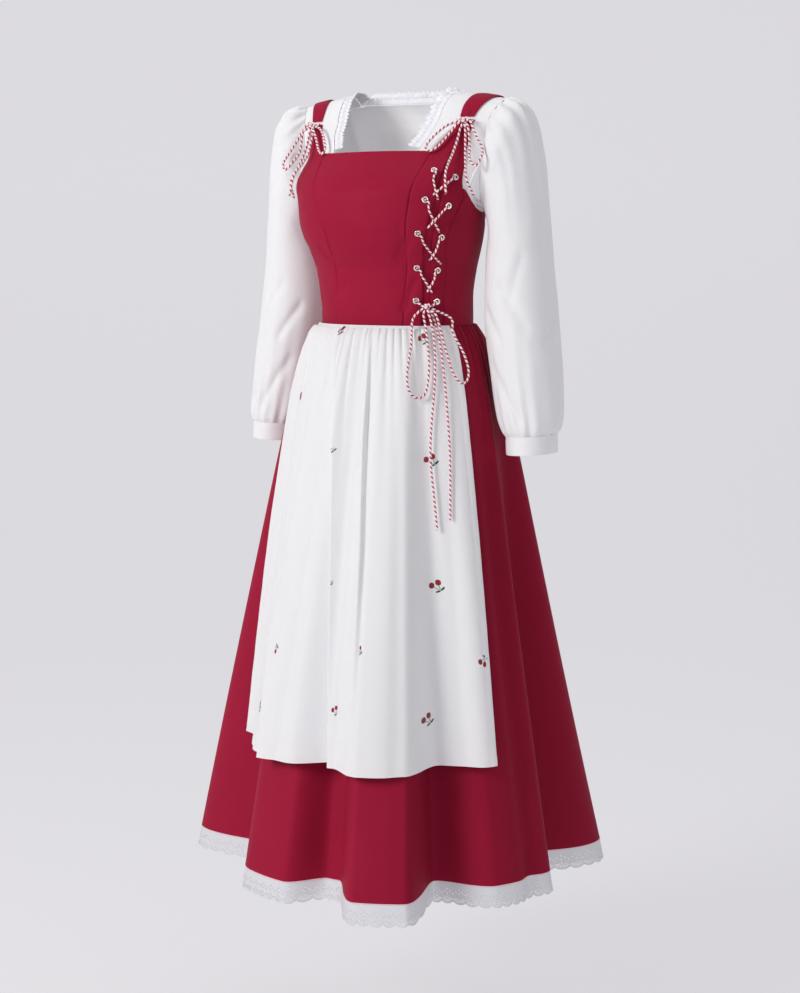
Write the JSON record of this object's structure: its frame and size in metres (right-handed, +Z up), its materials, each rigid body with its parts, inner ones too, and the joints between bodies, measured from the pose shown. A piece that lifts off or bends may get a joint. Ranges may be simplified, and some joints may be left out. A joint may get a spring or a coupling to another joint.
{
  "type": "dirndl",
  "caption": "Dirndl shaped as worn: long gathered red skirt, laced red bodice with bows, white full-sleeved blouse, white half apron and lace trim.",
  "frame": {"origin": "midway between the wearer's shoulders, level with the top of the shoulders, where the garment hangs on its wearer", "axes": "+Z up, the front faces -Y, +X towards the wearer's left"},
  "size_m": [0.658, 0.6723, 1.3015],
  "materials": {
    "red_cotton": "plain woven deep red cotton, soft matt sheen",
    "white_cotton": "fine white cotton lawn, matt",
    "white_lace": "white eyelet embroidered lace, matt",
    "twisted_cord": "twisted red and white cotton cord",
    "eyelet_metal": "pressed bright metal eyelets"
  },
  "bodies": {
    "root": {"bodice_front": "red_cotton", "bodice_side_front_right": "red_cotton", "bodice_side_right": "red_cotton", "bodice_lacing_inner_left": "red_cotton", "bodice_lacing_outer_left": "red_cotton", "bodice_side_left": "red_cotton", "bodice_back": "red_cotton", "lacing_placket": "red_cotton", "strap_left": "red_cotton", "strap_right": "red_cotton", "skirt_gore_1": "red_cotton", "skirt_gore_2": "red_cotton", "skirt_gore_3": "red_cotton", "skirt_gore_4": "red_cotton", "skirt_gore_5": "red_cotton", "skirt_gore_6": "red_cotton", "blouse_front": "white_cotton", "blouse_back": "white_cotton", "blouse_yoke_left": "white_cotton", "blouse_yoke_right": "white_cotton", "sleeve_left": "white_cotton", "sleeve_right": "white_cotton", "cuff_left": "white_cotton", "cuff_right": "white_cotton", "apron_panel": "white_cotton", "apron_band": "white_cotton", "blouse_neck_frill": "white_lace", "hem_lace_1": "white_lace", "hem_lace_2": "white_lace", "hem_lace_3": "white_lace", "hem_lace_4": "white_lace", "lace_cross_1": "twisted_cord", "lace_cross_2": "twisted_cord", "lace_cross_3": "twisted_cord", "lace_cross_4": "twisted_cord", "waist_knot": "twisted_cord", "waist_loop_left": "twisted_cord", "waist_loop_right": "twisted_cord", "waist_tail_left": "twisted_cord", "waist_tail_right": "twisted_cord", "shoulder_knot_left": "twisted_cord", "shoulder_left_loop_inner": "twisted_cord", "shoulder_left_loop_outer": "twisted_cord", "shoulder_left_tail_inner": "twisted_cord", "shoulder_left_tail_outer": "twisted_cord", "shoulder_knot_right": "twisted_cord", "shoulder_right_loop_inner": "twisted_cord", "shoulder_right_loop_outer": "twisted_cord", "shoulder_right_tail_inner": "twisted_cord", "shoulder_right_tail_outer": "twisted_cord", "eyelet_inner_1": "eyelet_metal", "eyelet_outer_1": "eyelet_metal", "eyelet_inner_2": "eyelet_metal", "eyelet_outer_2": "eyelet_metal", "eyelet_inner_3": "eyelet_metal", "eyelet_outer_3": "eyelet_metal", "eyelet_inner_4": "eyelet_metal", "eyelet_outer_4": "eyelet_metal", "eyelet_inner_5": "eyelet_metal", "eyelet_outer_5": "eyelet_metal"}
  },
  "joints": []
}
